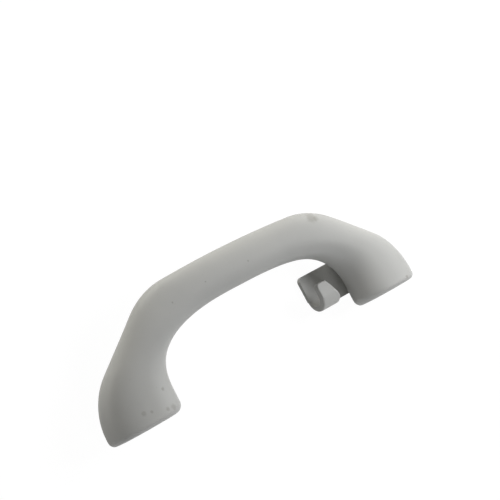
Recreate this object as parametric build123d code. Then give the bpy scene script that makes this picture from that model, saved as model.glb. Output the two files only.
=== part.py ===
from build123d import *
import math
import os

# A fold-down roof grab handle for a car: one moulded bow with two hollow feet, a hinge
# bracket hidden in each foot, a return spring on the left, a rotary damper on the right
# and a coat hook that stands beside the right foot.
# X runs along the handle, Z points out of the roof, Y runs from the hinge ends of the feet
# towards the grip. The origin is on the roof face, midway between the two fixing screws.

# Overall form of the bow
handle_length = 220.6
foot_end_radius = 8.8
roof_gap = 0.2
hinge_to_screws = 14.0
grip_reach = 65.3
grip_depth = 22.8
grip_back_height = 10.8
grip_thickness = 15.4
foot_height = 23.6
foot_widest_height = 7.5
foot_hidden_depth = 6.0
section_power = 2.5

# Outer and inner outline of the bow, seen from the front
crown_radius = 700.0
crown_half_span = 43.0
shoulder_radius = 50.0
leg_slope = 39.4
heel_radius = 35.0
inner_wall_x = 64.5
inner_wall_rise = 8.0
inner_power = 3.0
inner_corner = 5.0
outer_corner = 3.5
front_corner = 1.6
grip_blend_start = 10.0
grip_blend_end = 72.0
back_blend_start = 30.0
back_blend_end = 75.0

# Sections that the bow is lofted through
section_steps = 12
arch_steps = 19
corner_steps = 5
cavity_steps = 7

# Hollow of the feet, its rim and its ribs
wall = 2.5
rim_height = 0.5
cavity_reach = 40.0
end_lip_height = 5.4
notch_height = 3.0
notch_end_height = 5.6
notch_end_run = 3.0
notch_ramp = 0.8
pin_lug_radius = 5.4
lug_root = 0.5
outer_lug_thickness = 4.0
snap_mouth = 3.6
spring_rib_thickness = 2.2
spring_rib_width = 4.0
spring_rib_overlap = 3.5
stop_rib_thickness = 2.4
stop_rib_length = 5.0

# Hinge brackets
ear_start_x = 72.0
ear_thickness = 3.5
ear_radius = 5.8
ear_foot_length = 13.1
ear_flank_angle = 50
bracket_width = 27.0
bracket_reach = 21.2
bracket_toe = 1.0
bracket_corner = 2.5
bracket_bevel = 8.0
base_thickness = 3.0
boss_radius = 7.2
boss_height = 11.0
spring_nib_thickness = 1.6
spring_nib_start = 9.0
spring_nib_length = 3.0
nib_post_start = 3.0
nib_post_rise = 4.6
nib_post_flare = 1.0

# Coat hook and its plate
plate_left_x = 43.3
plate_low_run = 9.6
plate_high_run = 30.8
plate_thickness = 2.4
plate_corner = 3.0
neck_high_run = 16.9
hook_width = 13.2
hook_tip_width = 7.6
hook_low_run = 8.3
hook_tip_run = 23.2
hook_depth = 14.9
hook_thickness = 3.7
hook_tip_radius = 2.28
hook_taper_radius = 8.0
hook_edge_radius = 0.9

# Hinge pins, spring and damper
pin_radius = 2.0
pin_overhang = 4.2
pin_chamfer = 0.4
bush_radius = 4.0
wire_radius = 0.8
coil_radius = 5.0
coil_turns = 7.75
coil_pitch = 1.95
fixed_leg_length = 13.0
moving_leg_height = 10.0
damper_radius = 5.7
damper_wall = 1.3
damper_floor = 3.0
damper_lip = 1.5
rotor_flat = 1.5
seal_radius = 1.1
key_width = 3.0
key_length = 6.0
key_sink = 1.4
key_offset = 4.56
plug_depth = 2.0
pin_room_floor = 0.8
groove_count = 3
groove_width = 1.0
groove_depth = 0.5

# Fixing points
screw_hole_radius = 3.25
sleeve_wall = 1.75
sleeve_length = 6.0
head_room_radius = 6.4
cap_overlap = 0.9
cap_thickness = 1.2
cap_skirt = 1.6
buffer_x = 75.4
buffer_run = 18.2
buffer_radius = 2.8
buffer_top = 9.5
buffer_stem_radius = 1.5
buffer_stem_gap = 0.4
buffer_edge = 0.8

# Clearances
press_clearance = 0.02
running_clearance = 0.05
side_clearance = 0.4
small_gap = 0.3
touch_gap = 0.1
wall_gap = 0.7
rotor_gap = 0.2
coil_end_gap = 1.0


# Places that several pieces share
foot_end_y = -(hinge_to_screws + foot_end_radius)
hinge_y = -hinge_to_screws
hinge_height = foot_end_radius + roof_gap
ear_end_x = ear_start_x + bracket_width - ear_thickness
bracket_end_x = ear_start_x + bracket_width
screw_x = ear_start_x + bracket_width / 2
coil_start_x = ear_start_x + ear_thickness + 2 * wire_radius + coil_end_gap
coil_length = coil_turns * coil_pitch
sleeve_radius = screw_hole_radius + sleeve_wall
rotor_radius = damper_radius - damper_wall - rotor_gap
damper_start_x = ear_start_x + ear_thickness + side_clearance
damper_end_x = ear_end_x - side_clearance


def outer_outline():
    """Outer outline of one half, from mid-grip to the foot's end."""
    crown_turn = math.degrees(math.asin(crown_half_span / crown_radius))
    crown = JernArc((0, foot_end_y + grip_reach), (1, 0), crown_radius, -crown_turn)
    shoulder = JernArc(crown @ 1, crown % 1, shoulder_radius, crown_turn - leg_slope)
    slope = math.radians(leg_slope)
    heel_start_x = handle_length / 2 - heel_radius * (1 - math.sin(slope))
    leg_length = (heel_start_x - (shoulder @ 1).X) / math.cos(slope)
    leg = Line(shoulder @ 1, shoulder @ 1 + (shoulder % 1) * leg_length)
    drop = (leg @ 1).Y - foot_end_y
    heel_turn = math.degrees(math.acos(math.cos(slope) - drop / heel_radius)) - leg_slope
    heel = JernArc(leg @ 1, leg % 1, heel_radius, -heel_turn)
    return Wire([crown, shoulder, leg, heel])


def inner_outline(inset=0.0):
    """Inner outline of one half, from mid-grip to the foot's end."""
    half_span = inner_wall_x - inset
    rise = grip_reach - grip_depth - inner_wall_rise - inset
    power = 2 / inner_power
    points = []
    for step in range(13):
        turn = math.radians(90 - step * 7.5)
        x = half_span * math.cos(turn) ** power if step else 0
        y = rise * math.sin(turn) ** power if step < 12 else 0
        points.append((x, foot_end_y + inner_wall_rise + y))
    bend = Spline(points, tangents=[(1, 0), (0, -1)])
    return Wire([bend, Line(bend @ 1, (half_span, foot_end_y))])


def eased(value, start, end):
    """Smooth step from 0 at start to 1 at end."""
    share = min(max((value - start) / (end - start), 0), 1)
    return share * share * (3 - 2 * share)


def corner_inset(run, radius):
    """How far a rounded corner has drawn in at a distance from the end face."""
    if run >= radius:
        return 0
    return radius - math.sqrt(radius**2 - (radius - run) ** 2)


def bow_section(outer, inner, run, side, inset=0.0):
    """Closed section of the bow at a distance from the foot's end along the outer outline."""
    spare = (outer.length - inner.length) * (run / outer.length) ** 1.5
    out_point = outer.position_at(outer.length - run, position_mode=PositionMode.LENGTH)
    in_point = inner.position_at(inner.length - run + spare, position_mode=PositionMode.LENGTH)
    across = (out_point - in_point).normalized()
    rounded = inset == 0
    out_point -= across * (inset + rounded * corner_inset(run, outer_corner))
    in_point += across * (inset + rounded * corner_inset(run, inner_corner))
    middle = (out_point + in_point) / 2
    half_width = (out_point - in_point).length / 2
    blend = eased(run, grip_blend_start, grip_blend_end)
    back_blend = eased(run, back_blend_start, back_blend_end)
    grip_middle = grip_back_height + grip_thickness / 2
    height = foot_widest_height + (grip_middle - foot_widest_height) * blend
    foot_up = foot_height - foot_widest_height
    up = foot_up + (grip_thickness / 2 - foot_up) * blend - inset
    up -= rounded * corner_inset(run, front_corner)
    down = height + foot_hidden_depth - (grip_back_height + foot_hidden_depth) * back_blend
    down += 2 * inset
    power = 2 / section_power
    halves = []
    shares = [step / section_steps for step in range(section_steps + 1)]
    for start in (0, 180):
        points = []
        for share in shares:
            turn = math.radians(start + 180 * share)
            wide = math.copysign(abs(math.cos(turn)) ** power, math.cos(turn))
            tall = math.copysign(abs(math.sin(turn)) ** power, math.sin(turn))
            spot = middle + across * (half_width * wide)
            reach = up if tall > 0 else down
            points.append((side * spot.X, spot.Y, height + reach * tall))
        rise = 1 if start == 0 else -1
        halves.append(Edge.make_spline(points, [(0, 0, rise), (0, 0, -rise)], parameters=shares))
    return Wire(halves)


def bow_skin():
    """The solid bow, with its feet still running on behind the roof face."""
    outer = outer_outline()
    inner = inner_outline()
    arch_length = outer.length - inner_corner
    arch_runs = [inner_corner + arch_length * step / arch_steps for step in range(arch_steps + 1)]
    left = [bow_section(outer, inner, run, -1) for run in arch_runs]
    right = [bow_section(outer, inner, run, 1) for run in arch_runs[:-1]]
    arch = Solid.make_loft(left + right[::-1])
    turns = [math.radians(90 * step / corner_steps) for step in range(corner_steps + 1)]
    end_runs = [inner_corner * (1 - math.cos(turn)) for turn in turns]
    right_end = Solid.make_loft([bow_section(outer, inner, run, 1) for run in end_runs])
    left_end = Solid.make_loft([bow_section(outer, inner, run, -1) for run in end_runs])
    return arch + right_end + left_end


def foot_cavity():
    """Hollow of the right foot, open at the back."""
    outer = outer_outline()
    inner = inner_outline()
    runs = [wall + (cavity_reach - wall) * step / cavity_steps for step in range(cavity_steps + 1)]
    hollow = Solid.make_loft([bow_section(outer, inner, run, 1, wall) for run in runs])
    return hollow - behind(rim_height - 1)


def mirrored(piece):
    """The same piece for the left foot."""
    return mirror(piece, Plane.YZ)


def along_x(sketch, start, end):
    """Extrude a profile drawn in Y and Z from one X to another."""
    return extrude(Plane.YZ.offset(start) * sketch, amount=end - start)


def box_between(low, high):
    """Box from its lowest to its highest corner."""
    size = [b - a for a, b in zip(low, high)]
    middle = [(a + b) / 2 for a, b in zip(low, high)]
    return Pos(*middle) * Box(*size)


def behind(height):
    """Everything that lies nearer the roof than a height."""
    far = handle_length
    return box_between((-far, -far, -far), (far, far, height))


def foot_end_cutters():
    """What has to go so that a foot's end can swing past the roof and past the bracket."""
    depth = foot_end_radius + 2
    corner = Pos(hinge_y - depth / 2, hinge_height - depth / 2) * Rectangle(depth, depth)
    corner -= Pos(hinge_y, hinge_height) * Circle(foot_end_radius)
    swing = along_x(corner, inner_wall_x - 10, handle_length / 2 + 5)
    side_room = side_clearance + 1
    low = (ear_start_x - side_room, foot_end_y - 1, -foot_hidden_depth - 1)
    high = (bracket_end_x + side_room, hinge_y, end_lip_height)
    return [swing, box_between(low, high)]


def neck_notch():
    """Raised rim of the right foot's inner wall, where the hook plate's neck passes under it."""
    below = -foot_hidden_depth - 1
    level_end = hinge_y - foot_end_radius + plate_low_run
    points = [
        (foot_end_y - 1, below),
        (foot_end_y - 1, notch_end_height),
        (foot_end_y + notch_end_run, notch_end_height),
        (level_end, notch_height),
        (foot_end_y + neck_high_run, notch_height),
        (foot_end_y + neck_high_run + notch_ramp, rim_height),
        (foot_end_y + neck_high_run + notch_ramp, below),
    ]
    profile = make_face(Polyline(points, close=True))
    return along_x(profile, inner_wall_x - 5, inner_wall_x + wall + 4)


def lug_profile():
    """Round-ended lug that comes down from the front wall to the hinge axis."""
    rise = foot_height - hinge_height
    end = Pos(hinge_y, hinge_height) * Circle(pin_lug_radius)
    return end + Pos(hinge_y, hinge_height + rise / 2) * Rectangle(2 * pin_lug_radius, rise)


def snap_seat(radius, mouth):
    """Seat for a pin, open towards the roof so that the lug snaps over it."""
    drop = pin_lug_radius + 1
    way = Pos(hinge_y, hinge_height - drop / 2) * Rectangle(mouth, drop)
    return Pos(hinge_y, hinge_height) * Circle(radius) + way


def keyed_seat():
    """Seat for the flatted end of the damper's shaft, open towards the roof."""
    drop = pin_lug_radius + 1
    width = 2 * (rotor_flat + press_clearance)
    way = Pos(0, -drop / 2) * Rectangle(width, drop)
    crown = Circle(pin_radius + press_clearance) & Rectangle(width, 4 * pin_radius)
    return Pos(hinge_y, hinge_height) * (crown + way)


def foot_ribs():
    """Lugs and ribs that stand inside either foot."""
    inner_lug = along_x(lug_profile(), inner_wall_x + lug_root, ear_start_x - side_clearance)
    outer_start = bracket_end_x + side_clearance
    outer_lug = along_x(lug_profile(), outer_start, outer_start + outer_lug_thickness)
    rib_y = hinge_y + buffer_run - stop_rib_length / 2
    rib_low = (buffer_x - stop_rib_thickness / 2, rib_y, buffer_top + small_gap)
    rib_high = (buffer_x + stop_rib_thickness / 2, rib_y + stop_rib_length, foot_height)
    return inner_lug + outer_lug + box_between(rib_low, rib_high)


def spring_rib():
    """Rib that the spring's moving leg pushes on, for the right foot before it is mirrored."""
    start = hinge_y + coil_radius + wire_radius + touch_gap
    middle_x = coil_start_x + coil_length
    half_width = spring_rib_width / 2
    low = (middle_x - half_width, start, hinge_height + moving_leg_height - spring_rib_overlap)
    high = (middle_x + half_width, start + spring_rib_thickness, foot_height)
    return box_between(low, high)


def grip_handle():
    """The moulded bow with its hollow feet, lugs and ribs."""
    skin = bow_skin()
    ribs = foot_ribs()
    ribs_inside = (ribs + mirrored(ribs + spring_rib())) & skin
    body = skin - behind(rim_height)
    for cutter in foot_end_cutters():
        body -= cutter
        body -= mirrored(cutter)
    cavity = foot_cavity()
    body -= cavity
    body -= mirrored(cavity)
    body -= neck_notch()
    body += ribs_inside
    inner_span = (inner_wall_x + wall, ear_start_x)
    outer_span = (bracket_end_x, bracket_end_x + side_clearance + outer_lug_thickness)
    pin_seat = snap_seat(pin_radius + running_clearance, snap_mouth)
    body -= along_x(pin_seat, *inner_span)
    body -= mirrored(along_x(pin_seat, *inner_span) + along_x(pin_seat, *outer_span))
    body -= along_x(keyed_seat(), *outer_span)
    return body


def bracket_blank():
    """Hinge bracket of the right foot without its hooks and bores: base, two ears and screw boss."""
    low_y = hinge_y + bracket_toe
    high_y = hinge_y + bracket_reach
    outline = Polyline(
        (ear_start_x, low_y),
        (bracket_end_x, low_y),
        (bracket_end_x, high_y - bracket_bevel),
        (bracket_end_x - bracket_bevel, high_y),
        (ear_start_x, high_y),
        close=True,
    )
    base = extrude(make_face(outline), amount=base_thickness)
    base = fillet(base.edges().filter_by(Axis.Z), bracket_corner / 2)
    boss = Pos(screw_x, 0, 0) * extrude(Circle(boss_radius), amount=boss_height)
    ear = ear_profile()
    inner_ear = along_x(ear, ear_start_x, ear_start_x + ear_thickness)
    outer_ear = along_x(ear, ear_end_x, bracket_end_x)
    return base + boss + inner_ear + outer_ear


def ear_profile():
    """Side view of a bracket ear: an eye round the hinge axis on a sloping foot."""
    low_y = hinge_y + bracket_toe
    high_y = low_y + ear_foot_length
    flank = math.radians(ear_flank_angle)
    flank_y = hinge_y + ear_radius * math.sin(flank)
    flank_z = hinge_height + ear_radius * math.cos(flank)
    eye = Pos(hinge_y, hinge_height) * Circle(ear_radius)
    points = [
        (low_y, 0),
        (high_y, 0),
        (high_y, base_thickness),
        (flank_y, flank_z),
        (low_y, hinge_height),
    ]
    return eye + make_face(Polyline(points, close=True))


def screw_bores():
    """Room for the sleeve and for the screw's head, down through the boss."""
    sleeve_room = extrude(Circle(sleeve_radius + press_clearance), amount=boss_height)
    head_room = Pos(0, 0, sleeve_length) * extrude(Circle(head_room_radius), amount=boss_height)
    return Pos(screw_x, 0, 0) * (sleeve_room + head_room)


def hinge_bracket():
    """Bracket with its bores, for the right foot before the hook or the spring nib is added."""
    body = bracket_blank()
    body -= screw_bores()
    stem_room = extrude(Circle(buffer_stem_radius + press_clearance), amount=base_thickness)
    body -= Pos(buffer_x, hinge_y + buffer_run, 0) * stem_room
    return body


def left_bracket():
    """Bracket of the sprung foot, with the nib that holds down the spring's fixed leg."""
    body = hinge_bracket()
    bore = Pos(hinge_y, hinge_height) * Circle(pin_radius + press_clearance)
    low_z = hinge_height + coil_radius + wire_radius + touch_gap
    high_z = low_z + spring_nib_thickness
    start_y = hinge_y + spring_nib_start
    end_y = start_y + spring_nib_length
    nib_end_x = coil_start_x + wire_radius + side_clearance
    nib = box_between((ear_start_x, start_y, low_z), (nib_end_x, end_y, high_z))
    post_points = [
        (hinge_y + nib_post_start, hinge_height),
        (hinge_y + nib_post_start, hinge_height + nib_post_rise),
        (start_y, high_z),
        (end_y, high_z),
        (end_y + nib_post_flare, base_thickness),
    ]
    post = make_face(Polyline(post_points, close=True))
    body += nib + along_x(post, ear_start_x, ear_start_x + ear_thickness)
    body -= along_x(bore, ear_start_x - 1, bracket_end_x + 1)
    return mirrored(body)


def hook_bracket():
    """Bracket of the damped foot, in one piece with the hook's plate and the coat hook."""
    body = hinge_bracket()
    pin_bore = Pos(hinge_y, hinge_height) * Circle(pin_radius + press_clearance)
    shaft_bore = Pos(hinge_y, hinge_height) * Circle(pin_radius + running_clearance)
    body -= along_x(pin_bore, ear_start_x - 1, ear_start_x + ear_thickness + 1)
    body -= along_x(shaft_bore, ear_end_x - 1, bracket_end_x + 1)
    body -= key_block(touch_gap)
    return body + hook_plate() + coat_hook()


def hook_plate():
    """Plate beside the foot, with the neck that runs under the foot's inner wall."""
    low_y = foot_end_y + plate_low_run
    high_y = foot_end_y + plate_high_run
    hook_start_y = foot_end_y + hook_low_run + hook_depth / 2
    opening = inner_outline(wall_gap)
    opening_face = make_face([*opening.edges(), Polyline(opening @ 1, (0, foot_end_y), opening @ 0)])
    slab = Polyline(
        (plate_left_x, hook_start_y),
        (plate_left_x + hook_width, hook_start_y),
        (plate_left_x + hook_width, low_y),
        (inner_wall_x, low_y),
        (inner_wall_x, high_y),
        (plate_left_x, high_y),
        close=True,
    )
    face = make_face(slab) & opening_face
    plate = extrude(face, amount=plate_thickness)
    corner = plate.edges().filter_by(Axis.Z).group_by(Axis.X)[0].group_by(Axis.Y)[-1]
    plate = fillet(corner, plate_corner)
    neck_low = (inner_wall_x - 3, low_y, 0)
    neck_high = (ear_start_x + 1, foot_end_y + neck_high_run, plate_thickness)
    return plate + box_between(neck_low, neck_high)


def coat_hook():
    """J-shaped hook on the plate's edge, its finger pointing towards the grip."""
    low_y = foot_end_y + hook_low_run
    tip_y = foot_end_y + hook_tip_run
    bend_y = low_y + hook_depth / 2
    throat = hook_depth - hook_thickness - plate_thickness
    throat_y = low_y + hook_thickness + throat / 2
    throat_z = plate_thickness + throat / 2
    outside = Pos(bend_y, hook_depth / 2) * Circle(hook_depth / 2)
    run_on = tip_y - bend_y + hook_width
    outside += Pos(bend_y + run_on / 2, hook_depth / 2) * Rectangle(run_on, hook_depth)
    inside = Pos(throat_y, throat_z) * Circle(throat / 2)
    throat_run = tip_y - throat_y + 2 * hook_width
    inside += Pos(throat_y + throat_run / 2, throat_z) * Rectangle(throat_run, throat)
    blank = along_x(outside - inside, plate_left_x, plate_left_x + hook_width)
    taper_y = low_y + hook_thickness
    taper = make_face(
        Polyline(
            (plate_left_x, low_y - 1),
            (plate_left_x + hook_width, low_y - 1),
            (plate_left_x + hook_width, taper_y),
            (plate_left_x + hook_tip_width, tip_y),
            (plate_left_x, tip_y),
            close=True,
        )
    )
    taper = fillet(taper.vertices().group_by(Axis.Y)[-1], hook_tip_radius)
    bend_corner = taper.vertices().filter_by(lambda spot: abs(spot.Y - taper_y) < 0.01)
    taper = fillet(bend_corner, hook_taper_radius)
    shape = blank & extrude(taper, amount=hook_depth + 1)
    return fillet(shape.edges(), hook_edge_radius)


def hinge_pin(start, end):
    """Steel pin on the hinge axis with a small chamfer at each end."""
    pin = along_x(Pos(hinge_y, hinge_height) * Circle(pin_radius), start, end)
    return chamfer(pin.edges(), pin_chamfer)


def spring_bush():
    """Plastic sleeve between the ears that keeps the coil centred on the pin."""
    ring = Circle(bush_radius) - Circle(pin_radius + press_clearance)
    ring = Pos(hinge_y, hinge_height) * ring
    return mirrored(along_x(ring, damper_start_x, damper_end_x))


def return_spring():
    """Torsion spring of round wire: fixed leg under the nib, moving leg against the handle's rib."""
    place = Plane((coil_start_x, hinge_y, hinge_height), x_dir=(0, 0, 1), z_dir=(1, 0, 0))
    path = (place * Helix(coil_pitch, coil_length, coil_radius)).edge()
    wire = Circle(wire_radius)
    coil = sweep(Plane(path @ 0, z_dir=path % 0) * wire, path)
    fixed_leg = extrude(Plane(path @ 0, z_dir=(0, 1, 0)) * wire, amount=fixed_leg_length)
    moving_leg = extrude(Plane(path @ 1, z_dir=(0, 0, 1)) * wire, amount=moving_leg_height)
    bends = Pos(*(path @ 0)) * Sphere(wire_radius) + Pos(*(path @ 1)) * Sphere(wire_radius)
    return mirrored(coil + fixed_leg + moving_leg + bends)


def key_block(clearance):
    """Key on the damper barrel that stops it from turning in the bracket."""
    middle_x = (damper_start_x + damper_end_x) / 2
    middle_y = hinge_y + key_offset
    half_length = key_length / 2 + clearance
    half_width = key_width / 2 + clearance
    low_z = base_thickness - key_sink - clearance
    low = (middle_x - half_length, middle_y - half_width, low_z)
    high = (middle_x + half_length, middle_y + half_width, hinge_height)
    return box_between(low, high)


def damper_housing():
    """Barrel of the rotary damper, open towards the outer ear."""
    bore_radius = damper_radius - damper_wall
    barrel = Pos(hinge_y, hinge_height) * Circle(damper_radius)
    body = along_x(barrel, damper_start_x, damper_end_x - damper_lip)
    body += key_block(0)
    room = Pos(hinge_y, hinge_height) * Circle(bore_radius)
    body -= along_x(room, damper_start_x + damper_floor, damper_end_x)
    pin_room = Pos(hinge_y, hinge_height) * Circle(pin_radius + press_clearance)
    pin_room_end = damper_start_x + damper_floor - pin_room_floor
    return body - along_x(pin_room, damper_start_x - 1, pin_room_end)


def seal_x():
    """Middle of the damper's sealing ring."""
    return damper_end_x - damper_lip - plug_depth - small_gap - seal_radius


def damper_rotor():
    """Rotor in the barrel, its flatted shaft keyed into the handle's outer lug."""
    axis_spot = Pos(hinge_y, hinge_height)
    drum_start = damper_start_x + damper_floor + small_gap
    drum_end = seal_x() - seal_radius - small_gap
    drum = along_x(axis_spot * Circle(rotor_radius), drum_start, drum_end)
    ring = axis_spot * (Circle(rotor_radius + 1) - Circle(rotor_radius - groove_depth))
    for step in range(groove_count):
        groove_x = drum_start + (drum_end - drum_start) * (step + 1) / (groove_count + 1)
        drum -= along_x(ring, groove_x - groove_width / 2, groove_x + groove_width / 2)
    flat_start = bracket_end_x + side_clearance / 2
    flat_end = bracket_end_x + side_clearance + outer_lug_thickness
    shaft = along_x(axis_spot * Circle(pin_radius), drum_end, flat_start)
    keyed = axis_spot * (Circle(pin_radius) & Rectangle(2 * rotor_flat, 4 * pin_radius))
    return drum + shaft + along_x(keyed, flat_start, flat_end)


def damper_cap():
    """Flanged plug that closes the barrel round the rotor's shaft."""
    axis_spot = Pos(hinge_y, hinge_height)
    hole = Circle(pin_radius + running_clearance)
    plug_radius = damper_radius - damper_wall - press_clearance
    plug = axis_spot * (Circle(plug_radius) - hole)
    flange = axis_spot * (Circle(damper_radius) - hole)
    plug_end = damper_end_x - damper_lip
    return along_x(plug, plug_end - plug_depth, plug_end) + along_x(flange, plug_end, damper_end_x)


def damper_seal():
    """Rubber ring between the rotor's shaft and the barrel."""
    middle_radius = pin_radius + running_clearance + seal_radius
    place = Plane((seal_x(), hinge_y, hinge_height), z_dir=(1, 0, 0))
    return place * Torus(middle_radius, seal_radius)


def screw_sleeve():
    """Steel sleeve that takes the screw's load, flush with the roof face."""
    ring = Circle(sleeve_radius) - Circle(screw_hole_radius)
    return Pos(screw_x, 0, 0) * extrude(ring, amount=sleeve_length)


def screw_cap():
    """Snap-in cover over the screw's head room."""
    disc = Pos(0, 0, boss_height) * extrude(Circle(head_room_radius + cap_overlap), amount=cap_thickness)
    disc = fillet(disc.edges().group_by(Axis.Z)[-1], cap_thickness * 0.4)
    outer_radius = head_room_radius - press_clearance
    skirt = extrude(Circle(outer_radius) - Circle(outer_radius - cap_thickness), amount=cap_skirt)
    return Pos(screw_x, 0, 0) * (disc + Pos(0, 0, boss_height - cap_skirt) * skirt)


def rubber_buffer():
    """Rubber stop on the bracket that the handle's rib comes down on."""
    head = extrude(Circle(buffer_radius), amount=buffer_top - base_thickness)
    head = fillet(head.edges().group_by(Axis.Z)[-1], buffer_edge)
    stem = extrude(Circle(buffer_stem_radius), amount=base_thickness - buffer_stem_gap)
    stem = Pos(0, 0, buffer_stem_gap) * stem
    return Pos(buffer_x, hinge_y + buffer_run, 0) * (Pos(0, 0, base_thickness) * head + stem)


inner_pin_x = inner_wall_x + wall + small_gap
outer_pin_x = bracket_end_x + pin_overhang
short_pin_x = damper_start_x + damper_floor - 1.0

pieces = {
    "grip_handle": grip_handle(),
    "left_bracket": left_bracket(),
    "hook_bracket": hook_bracket(),
    "left_hinge_pin": mirrored(hinge_pin(inner_pin_x, outer_pin_x)),
    "right_hinge_pin": hinge_pin(inner_pin_x, short_pin_x),
    "spring_bush": spring_bush(),
    "return_spring": return_spring(),
    "damper_housing": damper_housing(),
    "damper_rotor": damper_rotor(),
    "damper_cap": damper_cap(),
    "damper_seal": damper_seal(),
    "left_screw_sleeve": mirrored(screw_sleeve()),
    "right_screw_sleeve": screw_sleeve(),
    "left_screw_cap": mirrored(screw_cap()),
    "right_screw_cap": screw_cap(),
    "left_buffer": mirrored(rubber_buffer()),
    "right_buffer": rubber_buffer(),
}

os.makedirs("parts", exist_ok=True)
for name, piece in pieces.items():
    export_step(piece, f"parts/{name}.step")
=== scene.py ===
import math

import bmesh
import bpy
import numpy as np
from mathutils import Matrix, Vector


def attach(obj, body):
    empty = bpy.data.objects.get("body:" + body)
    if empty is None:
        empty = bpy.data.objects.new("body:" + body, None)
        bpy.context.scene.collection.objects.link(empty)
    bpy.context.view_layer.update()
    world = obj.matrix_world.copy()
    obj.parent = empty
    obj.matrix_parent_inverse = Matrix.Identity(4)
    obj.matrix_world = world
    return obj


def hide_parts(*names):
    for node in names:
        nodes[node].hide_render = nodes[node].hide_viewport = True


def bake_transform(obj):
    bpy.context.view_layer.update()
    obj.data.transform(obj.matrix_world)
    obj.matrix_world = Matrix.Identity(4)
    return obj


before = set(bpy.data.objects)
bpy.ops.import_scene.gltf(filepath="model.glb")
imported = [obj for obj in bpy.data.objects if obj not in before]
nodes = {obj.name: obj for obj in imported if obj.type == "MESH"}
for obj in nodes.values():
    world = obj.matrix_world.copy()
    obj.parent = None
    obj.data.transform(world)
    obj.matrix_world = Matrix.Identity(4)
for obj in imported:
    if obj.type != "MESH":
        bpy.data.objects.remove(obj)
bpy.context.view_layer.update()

# Fold-down roof grab handle, shown stowed on a white table. Metres, X along the handle,
# Z out of the roof face, Y from the hinge ends of the feet towards the grip.

print("frame loaded:", len(nodes), "nodes")


# Shader maths as plain sums

class Term:
    # one socket of a node, which can stand in a sum
    def __init__(self, paint, socket):
        self.paint = paint
        self.socket = socket

    def __add__(self, other):
        return self.paint.math("ADD", self, other)

    def __radd__(self, other):
        return self.paint.math("ADD", other, self)

    def __sub__(self, other):
        return self.paint.math("SUBTRACT", self, other)

    def __rsub__(self, other):
        return self.paint.math("SUBTRACT", other, self)

    def __mul__(self, other):
        return self.paint.math("MULTIPLY", self, other)

    def __rmul__(self, other):
        return self.paint.math("MULTIPLY", other, self)

    def __truediv__(self, other):
        return self.paint.math("DIVIDE", self, other)


class Paint:
    # one node tree that sums and other nodes are added to
    def __init__(self, tree):
        self.tree = tree

    def node(self, kind, settings=None, sockets=None, output=0):
        made = self.tree.nodes.new(kind)
        for name, value in (settings or {}).items():
            setattr(made, name, value)
        for name, value in (sockets or {}).items():
            if isinstance(value, Term):
                self.tree.links.new(value.socket, made.inputs[name])
            else:
                made.inputs[name].default_value = value
        return Term(self, made.outputs[output])

    def math(self, operation, first, second=0.0):
        return self.node("ShaderNodeMath", {"operation": operation}, {0: first, 1: second})

    def ease(self, value, low, high):
        # smooth step from 0 at low to 1 at high
        settings = {"interpolation_type": "SMOOTHSTEP"}
        sockets = {0: value, 1: low, 2: high, 3: 0.0, 4: 1.0}
        return self.node("ShaderNodeMapRange", settings, sockets)

    def mix(self, share, first, second):
        # 6 and 7 are the node's two colours, and its output 2 is the mixed one
        sockets = {"Factor": share, 6: first, 7: second}
        return self.node("ShaderNodeMix", {"data_type": "RGBA"}, sockets, 2)

    def noise(self, place, scale, detail=3.0, rough=0.55):
        sockets = {"Vector": place, "Scale": scale, "Detail": detail, "Roughness": rough}
        return self.node("ShaderNodeTexNoise", {}, sockets)

    def stretch(self, place, scale):
        return self.node("ShaderNodeVectorMath", {"operation": "MULTIPLY"}, {0: place, 1: scale})

    def bump(self, height, strength, distance):
        sockets = {"Strength": strength, "Distance": distance, "Height": height}
        return self.node("ShaderNodeBump", {}, sockets)


def newMaterial(name, fixed, build):
    # Principled material: fixed values on its own sockets, the rest from build(paint, place)
    material = bpy.data.materials.new(name)
    material.use_nodes = True
    tree = material.node_tree
    shader = tree.nodes["Principled BSDF"]
    for socket, value in fixed.items():
        shader.inputs[socket].default_value = value
    paint = Paint(tree)
    place = paint.node("ShaderNodeTexCoord", {}, {}, "Object")
    for socket, term in build(paint, place).items():
        tree.links.new(term.socket, shader.inputs[socket])
    material.diffuse_color = (*shader.inputs["Base Color"].default_value[:3], 1)
    return material


def grey(level, warmth=0.0):
    return (level * (1 + warmth), level, level * (1 - warmth), 1)


# Moulded plastic of the handle, the brackets and the screw covers, with painted shade along their
# lowest millimetres

plastic = {
    "colour": (0.440, 0.440, 0.427, 1),
    "paleColour": (0.470, 0.470, 0.454, 1),
    # colour of the dirt, also used for the painted shade along the parts' lowest millimetres
    "dirtAndShadeColour": (0.215, 0.200, 0.172, 1),
    "roughness": 0.52,
    "cloudRoughness": 0.10,
    "dirtAndShadeRoughness": 0.25,
    "grainScale": 2600.0,
    "grainStrength": 0.35,
    "grainHeight": 0.00003,
    "cloudScale": 22.0,
    "cloudRange": (0.30, 0.70),
    "speckScale": 700.0,
    "speckRange": (0.70, 0.78),
    "speckDirt": 0.10,
    "smearScale": 160.0,
    "smearRange": (0.42, 0.72),
    # painted shade on the lowest few millimetres, where the parts meet the roof face
    "baseShadeRange": (0.0008, 0.0045),
    "baseShadeStrength": 0.30,
    "wobbleScale": 900.0,
    "wobbleSpan": 0.9,
    "wobbleLeast": 0.55,
    "markCore": 0.35,
    "markHeights": (0.014, 0.018),
}
handleMarks = [
    # x, y, radius, strength of each mark on the front face
    (0.0564, 0.0345, 0.0042, 0.34),
    (0.0591, 0.0331, 0.0022, 0.22),
    (-0.0761, -0.0085, 0.0013, 0.40),
    (-0.0924, -0.0146, 0.0017, 0.32),
    (-0.0881, -0.0157, 0.0012, 0.36),
    (-0.0791, -0.0184, 0.0014, 0.34),
    (-0.0750, -0.0190, 0.0022, 0.30),
    (0.0041, 0.0291, 0.0007, 0.50),
    (-0.0493, 0.0277, 0.0007, 0.45),
    (-0.0258, 0.0295, 0.0006, 0.45),
    (0.0984, -0.0206, 0.0015, 0.40),
]


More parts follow.
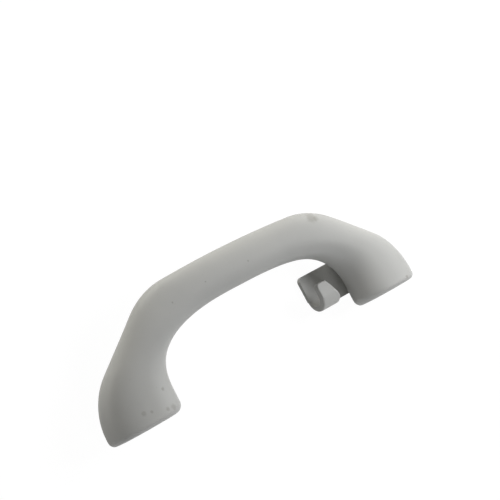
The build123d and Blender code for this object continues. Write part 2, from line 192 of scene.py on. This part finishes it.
def markMask(paint, place, marks):
    # soft blots of dirt whose edges are broken up by noise
    wobble = paint.noise(place, plastic["wobbleScale"], 2.0) * plastic["wobbleSpan"]
    wobble = wobble + plastic["wobbleLeast"]
    flat = paint.stretch(place, (1, 1, 0))
    total = None
    for x, y, radius, strength in marks:
        sockets = {0: flat, 1: (x, y, 0)}
        away = paint.node("ShaderNodeVectorMath", {"operation": "DISTANCE"}, sockets, "Value")
        blot = (1 - paint.ease(away * wobble, radius * plastic["markCore"], radius)) * strength
        total = blot if total is None else total + blot
    height = paint.node("ShaderNodeSeparateXYZ", {}, {0: place}, "Z")
    return total * paint.ease(height, *plastic["markHeights"])


def plasticBuild(marks):
    def build(paint, place):
        clouds = paint.noise(place, plastic["cloudScale"], 4.0)
        grain = paint.noise(place, plastic["grainScale"], 2.0, 0.5)
        specks = paint.ease(paint.noise(place, plastic["speckScale"], 1.0), *plastic["speckRange"])
        height = paint.node("ShaderNodeSeparateXYZ", {}, {0: place}, "Z")
        smear = paint.noise(place, plastic["smearScale"], 5.0, 0.65)
        smear = paint.ease(smear, *plastic["smearRange"])
        # painted shade: darker on the lowest few millimetres, where the parts meet the roof face,
        # broken up by smear noise
        rim = (1 - paint.ease(height, *plastic["baseShadeRange"])) * plastic["baseShadeStrength"]
        # dirt from the specks and the marks, plus that painted shade; together they darken the
        # colour and roughen it
        dirtAndShade = rim * smear + specks * plastic["speckDirt"]
        if marks:
            dirtAndShade = dirtAndShade + markMask(paint, place, marks)
        share = paint.ease(clouds, *plastic["cloudRange"])
        body = paint.mix(share, plastic["colour"], plastic["paleColour"])
        colour = paint.mix(dirtAndShade, body, plastic["dirtAndShadeColour"])
        roughness = plastic["roughness"] + (clouds - 0.5) * plastic["cloudRoughness"]
        roughness = roughness + dirtAndShade * plastic["dirtAndShadeRoughness"]
        bump = paint.bump(grain, plastic["grainStrength"], plastic["grainHeight"])
        return {"Base Color": colour, "Roughness": roughness, "Normal": bump}
    return build


plasticFixed = {"IOR": 1.47, "Specular IOR Level": 0.42, "Base Color": plastic["colour"]}
handlePlastic = newMaterial("handlePlastic", plasticFixed, plasticBuild(handleMarks))
bracketPlastic = newMaterial("bracketPlastic", plasticFixed, plasticBuild([]))
print("moulded plastic made")


# Black plastic of the damper and the spring's bush

darkPlastic = {
    "colour": grey(0.022),
    "worn": grey(0.050),
    "roughness": 0.42,
    "grainScale": 3200.0,
    "grainStrength": 0.25,
    "grainHeight": 0.00003,
    "scuffWay": (0.25, 1, 1),
    "scuffScale": 620.0,
    "scuffRange": (0.52, 0.72),
    "scuffShare": 0.5,
    "scuffRoughness": 0.16,
}


def darkBuild(paint, place):
    drawn = paint.stretch(place, darkPlastic["scuffWay"])
    scuffs = paint.noise(drawn, darkPlastic["scuffScale"], 4.0)
    scuffs = paint.ease(scuffs, *darkPlastic["scuffRange"])
    grain = paint.noise(place, darkPlastic["grainScale"], 2.0)
    share = scuffs * darkPlastic["scuffShare"]
    colour = paint.mix(share, darkPlastic["colour"], darkPlastic["worn"])
    roughness = darkPlastic["roughness"] + scuffs * darkPlastic["scuffRoughness"]
    bump = paint.bump(grain, darkPlastic["grainStrength"], darkPlastic["grainHeight"])
    return {"Base Color": colour, "Roughness": roughness, "Normal": bump}


darkFixed = {"IOR": 1.5, "Base Color": darkPlastic["colour"]}
blackPlastic = newMaterial("blackPlastic", darkFixed, darkBuild)


# Ground steel of the pins, drawn spring wire and zinc plated sleeves

metals = {
    "pin": {
        "colour": (0.56, 0.57, 0.58, 1),
        "tarnish": (0.36, 0.34, 0.31, 1),
        "roughness": 0.26,
    },
    "wire": {
        "colour": (0.34, 0.34, 0.35, 1),
        "tarnish": (0.17, 0.15, 0.13, 1),
        "roughness": 0.34,
    },
    "zinc": {
        "colour": (0.60, 0.59, 0.54, 1),
        "tarnish": (0.42, 0.39, 0.31, 1),
        "roughness": 0.38,
    },
}
metalWear = {
    "scratchScale": 1500.0,
    "scratchRoughness": 0.14,
    "scratchStrength": 0.3,
    "scratchHeight": 0.00002,
    "bloomScale": 260.0,
    "bloomRange": (0.45, 0.75),
    "bloomShare": 0.55,
    "bloomRoughness": 0.12,
}


def metalBuild(values, scratchWay):
    def build(paint, place):
        drawn = paint.stretch(place, scratchWay)
        scratches = paint.noise(drawn, metalWear["scratchScale"], 3.0, 0.6)
        blooms = paint.noise(place, metalWear["bloomScale"], 4.0, 0.6)
        blooms = paint.ease(blooms, *metalWear["bloomRange"])
        share = blooms * metalWear["bloomShare"]
        colour = paint.mix(share, values["colour"], values["tarnish"])
        roughness = values["roughness"] + scratches * metalWear["scratchRoughness"]
        roughness = roughness + blooms * metalWear["bloomRoughness"]
        bump = paint.bump(scratches, metalWear["scratchStrength"], metalWear["scratchHeight"])
        return {"Base Color": colour, "Roughness": roughness, "Normal": bump}
    return build


def metal(name, scratchWay):
    values = metals[name]
    fixed = {"Metallic": 1.0, "Base Color": values["colour"]}
    return newMaterial(name + "Steel", fixed, metalBuild(values, scratchWay))


pinSteel = metal("pin", (4.0, 0.5, 0.5))
wireSteel = metal("wire", (1.0, 1.0, 1.0))
zincSteel = metal("zinc", (0.6, 0.6, 2.5))


# Rubber of the buffers and the damper's ring

rubber = {
    "colour": grey(0.028),
    "dust": grey(0.110, 0.05),
    "roughness": 0.70,
    "dustScale": 480.0,
    "dustRange": (0.48, 0.78),
    "dustShare": 0.5,
    "dustRoughness": 0.15,
    "poreScale": 4200.0,
    "poreStrength": 0.3,
    "poreHeight": 0.00004,
}


def rubberBuild(paint, place):
    dust = paint.ease(paint.noise(place, rubber["dustScale"], 5.0, 0.65), *rubber["dustRange"])
    pores = paint.noise(place, rubber["poreScale"], 2.0)
    bump = paint.bump(pores, rubber["poreStrength"], rubber["poreHeight"])
    colour = paint.mix(dust * rubber["dustShare"], rubber["colour"], rubber["dust"])
    roughness = rubber["roughness"] + dust * rubber["dustRoughness"]
    return {"Base Color": colour, "Roughness": roughness, "Normal": bump}


rubberFixed = {"IOR": 1.52, "Base Color": rubber["colour"]}
blackRubber = newMaterial("blackRubber", rubberFixed, rubberBuild)
print("metal, black plastic and rubber made")


finishes = {
    "grip_handle": handlePlastic,
    "left_bracket": bracketPlastic,
    "hook_bracket": bracketPlastic,
    "left_screw_cap": bracketPlastic,
    "right_screw_cap": bracketPlastic,
    "spring_bush": blackPlastic,
    "damper_housing": blackPlastic,
    "damper_rotor": blackPlastic,
    "damper_cap": blackPlastic,
    "left_hinge_pin": pinSteel,
    "right_hinge_pin": pinSteel,
    "left_screw_sleeve": zincSteel,
    "right_screw_sleeve": zincSteel,
    "damper_seal": blackRubber,
    "left_buffer": blackRubber,
    "right_buffer": blackRubber,
}
for name, material in finishes.items():
    slots = nodes[name].data.materials
    slots.clear()
    slots.append(material)
print("finishes given to", len(finishes), "pieces")


# One-piece bow: rounded sections that follow an outer and an inner outline, with the two
# feet hollow round their brackets. Millimetres here, metres in the mesh. The outline's
# sizes are fitted to the photograph.

bow = {
    "length": 220.62,
    "reach": 65.44,
    "depth": 22.8,
    "footEnd": -22.8,
    "crownRadius": 754.0,
    "crownHalf": 45.0,
    "shoulderRadius": 46.3,
    "legSlope": 38.74,
    "heelRadius": 37.1,
    "innerWall": 65.9,
    "innerRise": 10.7,
    "innerPower": 2.89,
    "innerSteps": 160,
    "innerCorner": 5.0,
    "outerCorner": 3.5,
    "frontCorner": 2.2,
    "gripBlend": (5.2, 75.1),
    "backBlend": (26.5, 78.2),
    "spareBend": 1.5,
    "gripBack": 10.2,
    "gripThick": 14.4,
    "footHeight": 23.2,
    "widest": 9.82,
    "low": 0.8,
    "frontPower": 2.37,
    "backPower": 1.81,
    "wall": 2.5,
    "rim": 0.5,
    "rimOpening": 0.3,
    "cavityReach": 40.0,
    "cavitySteps": 20,
    "aroundSteps": 48,
    "alongStep": 1.4,
    "endSteps": 14,
    "sharpAngle": 32,
    "weld": 0.000002,
}
hinge = {
    "y": -14.0,
    "z": 9.0,
    "footRadius": 8.8,
    "lug": 5.4,
    "outerLug": 4.0,
    "pin": 2.05,
    "mouth": 1.8,
    "flat": 1.52,
    "bracket": (72.0, 99.0),
    "gap": 0.4,
}
footRibs = {
    # lowest corner, then where it ends in X and Y: it runs up to the foot's front
    "stop": ((74.2, 1.7, 9.8), (76.6, 6.7)),
    "spring": ((91.2, -8.1, 15.5), (95.2, -5.9)),
}
relief = {
    # cuts from the roof side that make room for the brackets. Above toe the hollow's own
    # wall still meets the bracket's edge by a fraction of a millimetre.
    "deep": -2.0,
    "past": 1.0,
    "spare": 2.0,
    "overrun": 5.0,
    "far": (60, 40),
    "lip": 5.4,
    "toeY": 7.9,
    "toe": 4.2,
    "pinWay": 67.0,
    "pinPast": 0.1,
    "notchStart": 60.0,
    "notch": [(-23.8, 5.6), (-19.8, 5.6), (-13.2, 3.0), (-5.9, 3.0), (-5.1, 0.5)],
}


def bendOn(points, heading, radius, turn, steps=48):
    # carry an outline on round an arc, turn in degrees, and return the new heading
    side = 1 if turn > 0 else -1
    start = math.radians(heading)
    x = points[-1][0] - side * radius * math.sin(start)
    y = points[-1][1] + side * radius * math.cos(start)
    for step in range(1, steps + 1):
        angle = start + math.radians(turn) * step / steps
        points.append((x + side * radius * math.sin(angle), y - side * radius * math.cos(angle)))
    return heading + turn


def outerOutline():
    # from mid-grip to the foot's end, for X above 0
    points = [(0.0, bow["footEnd"] + bow["reach"])]
    crownTurn = math.degrees(math.asin(bow["crownHalf"] / bow["crownRadius"]))
    heading = bendOn(points, 0.0, bow["crownRadius"], -crownTurn)
    heading = bendOn(points, heading, bow["shoulderRadius"], crownTurn - bow["legSlope"])
    slope = math.radians(bow["legSlope"])
    heelStart = bow["length"] / 2 - bow["heelRadius"] * (1 - math.sin(slope))
    run = heelStart - points[-1][0]
    points.append((heelStart, points[-1][1] - run * math.tan(slope)))
    drop = (points[-1][1] - bow["footEnd"]) / bow["heelRadius"]
    heelTurn = math.degrees(math.acos(math.cos(slope) - drop)) - bow["legSlope"]
    bendOn(points, heading, bow["heelRadius"], -heelTurn)
    return np.array(points)


def innerOutline():
    # from mid-grip down the inside of the leg to the foot's end
    turns = np.radians(np.linspace(90, 0, bow["innerSteps"]))
    rise = bow["reach"] - bow["depth"] - bow["innerRise"]
    power = 2 / bow["innerPower"]
    x = bow["innerWall"] * np.clip(np.cos(turns), 0, 1) ** power
    y = bow["footEnd"] + bow["innerRise"] + rise * np.clip(np.sin(turns), 0, 1) ** power
    return np.column_stack([np.append(x, bow["innerWall"]), np.append(y, bow["footEnd"])])


def along(points):
    # distance of each point from the outline's start
    return np.append(0, np.cumsum(np.linalg.norm(np.diff(points, axis=0), axis=1)))


outer, inner = outerOutline(), innerOutline()
outerRun, innerRun = along(outer), along(inner)


def spotAt(points, runs, distance):
    return np.array([np.interp(distance, runs, points[:, axis]) for axis in (0, 1)])


def eased(value, start, end):
    share = min(max((value - start) / (end - start), 0), 1)
    return share * share * (3 - 2 * share)


def cornerInset(run, radius):
    return 0.0 if run >= radius else radius - math.sqrt(radius**2 - (radius - run) ** 2)


def bowSection(run, inset=0.0):
    # closed loop of points at a distance from the foot's end along the outer outline
    spare = (outerRun[-1] - innerRun[-1]) * (run / outerRun[-1]) ** bow["spareBend"]
    outPoint = spotAt(outer, outerRun, outerRun[-1] - run)
    inPoint = spotAt(inner, innerRun, innerRun[-1] - run + spare)
    across = (outPoint - inPoint) / np.linalg.norm(outPoint - inPoint)
    rounded = inset == 0
    outPoint = outPoint - across * (inset + rounded * cornerInset(run, bow["outerCorner"]))
    inPoint = inPoint + across * (inset + rounded * cornerInset(run, bow["innerCorner"]))
    middle = (outPoint + inPoint) / 2
    halfWidth = np.linalg.norm(outPoint - inPoint) / 2
    blend = eased(run, *bow["gripBlend"])
    gripMiddle = bow["gripBack"] + bow["gripThick"] / 2
    height = bow["widest"] + (gripMiddle - bow["widest"]) * blend
    footUp = bow["footHeight"] - bow["widest"]
    up = footUp + (bow["gripThick"] / 2 - footUp) * blend - inset
    up -= rounded * cornerInset(run, bow["frontCorner"])
    low = bow["low"] + (bow["gripBack"] - bow["low"]) * eased(run, *bow["backBlend"])
    down = height - low + bow["rimOpening"] * inset
    lowPower = bow["backPower"] + (bow["frontPower"] - bow["backPower"]) * blend
    turns = np.linspace(0, 2 * math.pi, 2 * bow["aroundSteps"], endpoint=False)
    power = 2 / np.where(turns < math.pi, bow["frontPower"], lowPower)
    wide = np.sign(np.cos(turns)) * np.abs(np.cos(turns)) ** power
    tall = np.sign(np.sin(turns)) * np.abs(np.sin(turns)) ** power
    plan = middle + np.outer(halfWidth * wide, across)
    return np.column_stack([plan, height + np.where(tall > 0, up, down) * tall])


def loopMesh(name, loops):
    # skin over closed loops, closed at both ends
    count = len(loops[0])
    total = len(loops) * count
    faces = [tuple(range(count)), tuple(reversed(range(total - count, total)))]
    for row in range(len(loops) - 1):
        for step in range(count):
            after = (step + 1) % count
            low, high = row * count, (row + 1) * count
            faces.append((low + step, high + step, high + after, low + after))
    return solid(name, np.vstack(loops), faces)


def solid(name, points, faces):
    mesh = bpy.data.meshes.new(name)
    mesh.from_pydata((np.array(points) / 1000).tolist(), [], faces)
    work = bmesh.new()
    work.from_mesh(mesh)
    bmesh.ops.recalc_face_normals(work, faces=work.faces)
    work.to_mesh(mesh)
    work.free()
    made = bpy.data.objects.new(name, mesh)
    bpy.context.scene.collection.objects.link(made)
    return made


def prism(profile, start, end):
    # profile drawn in Y and Z, carried from one X to another
    count = len(profile)
    points = [(x, y, z) for x in (start, end) for y, z in profile]
    faces = [tuple(range(count)), tuple(range(count, 2 * count))]
    for step in range(count):
        after = (step + 1) % count
        faces.append((step, after, count + after, count + step))
    return solid("cutter", points, faces)


def block(low, high):
    profile = [(low[1], low[2]), (high[1], low[2]), (high[1], high[2]), (low[1], high[2])]
    return prism(profile, low[0], high[0])


def arc(radius, first, last, steps=40):
    # points round the hinge axis, angles in degrees from the Y axis
    turns = np.radians(np.linspace(first, last, steps + 1))
    return [(hinge["y"] + radius * math.cos(t), hinge["z"] + radius * math.sin(t)) for t in turns]


def carve(target, cutters):
    # take the cutters away from the target, and tidy them up
    for cutter in cutters:
        modifier = target.modifiers.new("carve", "BOOLEAN")
        modifier.operation = "DIFFERENCE"
        modifier.solver = "MANIFOLD"
        modifier.object = cutter
    ready = target.evaluated_get(bpy.context.evaluated_depsgraph_get())
    mesh = bpy.data.meshes.new_from_object(ready)
    target.modifiers.clear()
    target.data = mesh
    for cutter in cutters:
        bpy.data.objects.remove(cutter)
    return target


def lugProfile():
    # round under the pin, and straight up to the foot's front
    y, lug, top = hinge["y"], hinge["lug"], bow["footHeight"]
    return [(y + lug, top), (y - lug, top), *arc(lug, 180, 360)]


def seatProfile(radius, halfWidth):
    # round seat with a straight way in from the roof
    halfOpening = math.degrees(math.asin(halfWidth / radius))
    floor = hinge["z"] - hinge["lug"] - relief["past"]
    ends = [(hinge["y"] - halfWidth, floor), (hinge["y"] + halfWidth, floor)]
    return [*ends, *arc(radius, -90 + halfOpening, 270 - halfOpening)]


def footHollow(side):
    # room inside a foot, round its lugs and ribs
    runs = np.linspace(bow["wall"], bow["cavityReach"], bow["cavitySteps"])
    room = loopMesh("hollow", [bowSection(run, bow["wall"]) * (side, 1, 1) for run in runs])
    low, high = hinge["bracket"]
    gap, top = hinge["gap"], bow["footHeight"]
    spans = [
        (bow["innerWall"] - relief["spare"], low - gap),
        (high + gap, high + gap + hinge["outerLug"]),
    ]
    keep = [prism(lugProfile(), *sorted((side * a, side * b))) for a, b in spans]
    for name in ("stop", "spring") if side < 0 else ("stop",):
        (a, y, z), (b, yEnd) = footRibs[name]
        x, xEnd = sorted((side * a, side * b))
        keep.append(block((x, y, z), (xEnd, yEnd, top)))
    return carve(room, keep)


def footCutters():
    first, last = hinge["bracket"]
    low, high = first - hinge["gap"], last + hinge["gap"]
    y, z, deep, past = hinge["y"], hinge["z"], relief["deep"], relief["past"]
    outside = hinge["footRadius"] + relief["spare"]
    swing = [
        (y - outside, z),
        (y - outside, z - outside),
        (y, z - outside),
        *arc(hinge["footRadius"], 270, 180),
    ]
    width = bow["length"] / 2 + relief["overrun"]
    farY, farZ = relief["far"]
    made = [block((-width, -farY, -farZ), (width, farY, bow["rim"])), prism(swing, -width, width)]
    for side in (-1, 1):
        x, xEnd = sorted((side * low, side * high))
        made.append(block((x, bow["footEnd"] - past, deep), (xEnd, y, relief["lip"])))
        made.append(block((x, y - past, deep), (xEnd, relief["toeY"], relief["toe"])))
        made.append(footHollow(side))
        x, xEnd = sorted((side * relief["pinWay"], side * first))
        made.append(prism(seatProfile(hinge["pin"], hinge["mouth"]), x, xEnd))
    lugEnd = high + hinge["outerLug"]
    pinSeat = seatProfile(hinge["pin"], hinge["mouth"])
    made.append(prism(pinSeat, -lugEnd - relief["pinPast"], -last))
    shaftSeat = seatProfile(hinge["pin"], hinge["flat"])
    made.append(prism(shaftSeat, last, lugEnd + relief["pinPast"]))
    corners = relief["notch"]
    notch = [(corners[0][0], deep), *corners, (corners[-1][0], deep)]
    made.append(prism(notch, relief["notchStart"], first))
    return made


def shadeByAngle(mesh, limit):
    # smooth faces with sharp edges where two faces meet steeply
    work = bmesh.new()
    work.from_mesh(mesh)
    bmesh.ops.remove_doubles(work, verts=work.verts, dist=bow["weld"])
    for face in work.faces:
        face.smooth = True
    steepest = math.radians(limit)
    for edge in work.edges:
        edge.smooth = len(edge.link_faces) == 2 and edge.calc_face_angle(0.0) < steepest
    work.to_mesh(mesh)
    work.free()


def gripBow():
    # close steps over the foot's rounded end, then even ones to mid-grip
    turns = np.linspace(0, math.pi / 2, bow["endSteps"])
    endRuns = bow["innerCorner"] * (1 - np.cos(turns))
    steps = round((outerRun[-1] - bow["innerCorner"]) / bow["alongStep"])
    runs = [*endRuns, *np.linspace(bow["innerCorner"], outerRun[-1], steps)[1:]]
    right = [bowSection(run) for run in runs]
    left = [section * (-1, 1, 1) for section in right[:-1]]
    made = loopMesh("gripBow", left + right[::-1])
    carve(made, footCutters())
    shadeByAngle(made.data, bow["sharpAngle"])
    made.data.materials.clear()
    made.data.materials.append(handlePlastic)
    return made


gripPiece = gripBow()
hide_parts("grip_handle")
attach(gripPiece, "handle")
print("bow:", len(gripPiece.data.polygons), "faces")


# Hook plate carried on under the bow's rounded back

plateWing = {
    "top": 2.37,
    "bottom": 0.02,
    "tuck": 6.4,
    "lift": 2.4,
    "lowY": -13.2,
    "highY": 7.98,
    "startX": 48.0,
}


def wingPiece():
    # outline between the plate's own edge and the line where the bow hides it
    low, high, start = plateWing["lowY"], plateWing["highY"], plateWing["startX"]
    reach = inner.copy()
    reach[:, 0] += plateWing["tuck"]
    reach[:, 1] += plateWing["lift"]
    edge = [(x, y) for x, y in reach if low < y < high]
    topX = float(np.interp(-high, -reach[:, 1], reach[:, 0]))
    outline = [(start, low), (edge[-1][0], low), *edge[::-1], (topX, high), (start, high)]
    count = len(outline)
    points = [(x, y, z) for z in (plateWing["bottom"], plateWing["top"]) for x, y in outline]
    faces = [tuple(range(count)), tuple(range(count, 2 * count))]
    faces += [(k, (k + 1) % count, count + (k + 1) % count, count + k) for k in range(count)]
    made = solid("plateWing", points, faces)
    made.data.materials.append(bracketPlastic)
    return made


wing = wingPiece()
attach(wing, "brackets")
print("hook plate carried on")


# Return spring: one wire that runs in along its fixed leg, round the coil and out along
# its moving leg

spring = {
    "Start": (-0.0781, -0.014, 0.009),
    "Coil Radius": 0.005,
    "Wire Radius": 0.0008,
    "Pitch": 0.00195,
    "Turns": 7.75,
    "Fixed Leg": 0.013,
    "Moving Leg": 0.010,
    "Points": 420,
    "Wire Sides": 16,
}


def springTree():
    tree = bpy.data.node_groups.new("torsionSpring", "GeometryNodeTree")
    for name, value in spring.items():
        kind = "NodeSocketVector" if name == "Start" else "NodeSocketFloat"
        if isinstance(value, int):
            kind = "NodeSocketInt"
        tree.interface.new_socket(name, in_out="INPUT", socket_type=kind)
    tree.interface.new_socket("Mesh", in_out="OUTPUT", socket_type="NodeSocketGeometry")
    paint = Paint(tree)
    inputs = tree.nodes.new("NodeGroupInput").outputs
    given = {name: Term(paint, inputs[name]) for name in spring}

    # how far along the wire each point lies
    coilLength = given["Turns"] * given["Coil Radius"] * math.tau
    wireLength = given["Fixed Leg"] + coilLength + given["Moving Leg"]
    index = paint.node("GeometryNodeInputIndex")
    along = index / (given["Points"] - 1) * wireLength
    fixedOut = paint.math("MAXIMUM", given["Fixed Leg"] - along, 0)
    past = paint.math("MAXIMUM", along - given["Fixed Leg"], 0)
    coilAlong = paint.math("MINIMUM", past, coilLength)
    movingOut = paint.math("MAXIMUM", past - coilLength, 0)

    # the coil starts on top and ends on the grip's side
    turn = coilAlong / given["Coil Radius"]
    sine = paint.math("SINE", turn)
    cosine = paint.math("COSINE", turn)
    x = turn * given["Pitch"] * (-1 / math.tau)
    y = fixedOut - sine * given["Coil Radius"]
    z = cosine * given["Coil Radius"] + movingOut
    offset = paint.node("ShaderNodeCombineXYZ", {}, {"X": x, "Y": y, "Z": z})
    sockets = {0: offset, 1: given["Start"]}
    position = paint.node("ShaderNodeVectorMath", {"operation": "ADD"}, sockets)

    line = paint.node("GeometryNodeCurvePrimitiveLine")
    sockets = {"Curve": line, "Count": given["Points"]}
    line = paint.node("GeometryNodeResampleCurve", {"mode": "COUNT"}, sockets)
    path = paint.node("GeometryNodeSetPosition", {}, {"Geometry": line, "Position": position})
    sockets = {"Resolution": given["Wire Sides"], "Radius": given["Wire Radius"]}
    profile = paint.node("GeometryNodeCurvePrimitiveCircle", {}, sockets)
    sockets = {"Curve": path, "Profile Curve": profile, "Fill Caps": True}
    wire = paint.node("GeometryNodeCurveToMesh", {}, sockets)
    wire = paint.node("GeometryNodeSetShadeSmooth", {}, {"Geometry": wire})
    wire = paint.node("GeometryNodeRealizeInstances", {}, {"Geometry": wire})
    wire = paint.node("GeometryNodeSetMaterial", {}, {"Geometry": wire, "Material": wireSteel})
    tree.links.new(wire.socket, tree.nodes.new("NodeGroupOutput").inputs[0])
    return tree


def springObject():
    holder = bpy.data.objects.new("springHolder", bpy.data.meshes.new("springHolder"))
    bpy.context.scene.collection.objects.link(holder)
    modifier = holder.modifiers.new("torsionSpring", "NODES")
    modifier.node_group = springTree()
    for item in modifier.node_group.interface.items_tree:
        if item.in_out == "INPUT":
            modifier[item.identifier] = spring[item.name]
    ready = holder.evaluated_get(bpy.context.evaluated_depsgraph_get())
    mesh = bpy.data.meshes.new_from_object(ready)
    mesh.name = "torsionSpring"
    holder.modifiers.remove(modifier)
    bpy.data.objects.remove(holder)
    made = bpy.data.objects.new("torsionSpring", mesh)
    bpy.context.scene.collection.objects.link(made)
    return made


torsionSpring = springObject()
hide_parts("return_spring")
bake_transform(torsionSpring)
print("return spring:", len(torsionSpring.data.polygons), "faces")


# White table and surroundings

table = {
    "height": -0.0006,
    "size": 6.0,
    "colour": grey(0.45),
    "shadowShare": 0.15,
    "white": 1.14,
}


def seenDirectly(paint):
    # 1 for what the camera sees itself, in gloss or through glass
    kinds = ("Is Camera Ray", "Is Glossy Ray", "Is Transmission Ray")
    camera, glossy, through = (paint.node("ShaderNodeLightPath", {}, {}, kind) for kind in kinds)
    return paint.math("MAXIMUM", paint.math("MAXIMUM", camera, glossy), through)


def tableMaterial():
    material = bpy.data.materials.new("whiteTable")
    material.use_nodes = True
    tree = material.node_tree
    tree.nodes.clear()
    paint = Paint(tree)
    lit = paint.node("ShaderNodeBsdfDiffuse", {}, {"Color": table["colour"]})
    sockets = {"Color": grey(1.0), "Strength": table["white"]}
    plain = paint.node("ShaderNodeEmission", {}, sockets)
    share = seenDirectly(paint) * (1 - table["shadowShare"])
    surface = paint.node("ShaderNodeMixShader", {}, {0: share, 1: lit, 2: plain})
    out = tree.nodes.new("ShaderNodeOutputMaterial")
    tree.links.new(surface.socket, out.inputs["Surface"])
    return material


def tableTop():
    half = table["size"] / 2
    corners = [(-half, -half), (half, -half), (half, half), (-half, half)]
    mesh = bpy.data.meshes.new("tableTop")
    mesh.from_pydata([(x, y, table["height"]) for x, y in corners], [], [(0, 1, 2, 3)])
    mesh.materials.append(tableMaterial())
    made = bpy.data.objects.new("tableTop", mesh)
    bpy.context.scene.collection.objects.link(made)
    return made


surroundings = {"fill": grey(1.0), "fillStrength": 0.03}


def whiteWorld():
    world = bpy.data.worlds.new("whiteRoom")
    world.use_nodes = True
    bpy.context.scene.world = world
    tree = world.node_tree
    tree.nodes.clear()
    paint = Paint(tree)
    seen = seenDirectly(paint)
    strength = surroundings["fillStrength"] + seen * (1 - surroundings["fillStrength"])
    sockets = {"Color": surroundings["fill"], "Strength": strength}
    light = paint.node("ShaderNodeBackground", {}, sockets)
    out = tree.nodes.new("ShaderNodeOutputWorld")
    tree.links.new(light.socket, out.inputs["Surface"])


tableTop()
whiteWorld()
print("table and surroundings made")


# Soft lamps, low all round and strongest beyond the grip and the right foot

lamps = {
    "rightLamp": {
        "place": (0.52, 0.00, 0.40),
        "size": 0.35,
        "power": 2.5,
        "colour": (0.98, 0.99, 1.00),
    },
    "cornerLamp": {
        "place": (0.58, 0.34, 0.22),
        "size": 0.35,
        "power": 1.9,
        "colour": (1.00, 0.99, 0.96),
    },
    "gripLamp": {
        "place": (0.00, 0.72, 0.10),
        "size": 0.40,
        "power": 3.2,
        "colour": (1.00, 0.98, 0.91),
    },
    "leftLamp": {
        "place": (-0.58, 0.36, 0.12),
        "size": 0.40,
        "power": 1.3,
        "colour": (1.00, 0.99, 0.95),
    },
    "footLamp": {
        "place": (0.00, -0.60, 0.26),
        "size": 0.50,
        "power": 1.7,
        "colour": (0.98, 0.99, 1.00),
    },
}
lampTarget = Vector((0.0, 0.008, 0.012))


def softLamp(name, values):
    light = bpy.data.lights.new(name, "AREA")
    light.shape = "DISK"
    light.size = values["size"]
    light.energy = values["power"]
    light.color = values["colour"]
    made = bpy.data.objects.new(name, light)
    made.location = values["place"]
    made.visible_camera = False
    made.rotation_euler = (lampTarget - made.location).to_track_quat("-Z", "Y").to_euler()
    bpy.context.scene.collection.objects.link(made)
    return made


[softLamp(name, values) for name, values in lamps.items()]


# Camera at the photograph's viewing angle

cameraValues = {
    "place": (-0.3784, 0.0103, 0.5851),
    "forward": (0.5677, 0.0345, -0.8225),
    "right": (0.7352, -0.4708, 0.4877),
    "lens": 91.44,
    "sensor": 36.0,
    "clipStart": 0.01,
}


def viewCamera():
    back = -Vector(cameraValues["forward"]).normalized()
    right = Vector(cameraValues["right"])
    right = (right - back * right.dot(back)).normalized()
    up = back.cross(right)
    data = bpy.data.cameras.new("viewCamera")
    data.sensor_width = cameraValues["sensor"]
    data.lens = cameraValues["lens"]
    data.clip_start = cameraValues["clipStart"]
    made = bpy.data.objects.new("viewCamera", data)
    turn = Matrix((right, up, back)).transposed().to_4x4()
    made.matrix_world = Matrix.Translation(cameraValues["place"]) @ turn
    bpy.context.scene.collection.objects.link(made)
    return made


bpy.context.scene.camera = viewCamera()
bpy.context.scene.view_settings.view_transform = "Standard"
print("lamps and camera made")
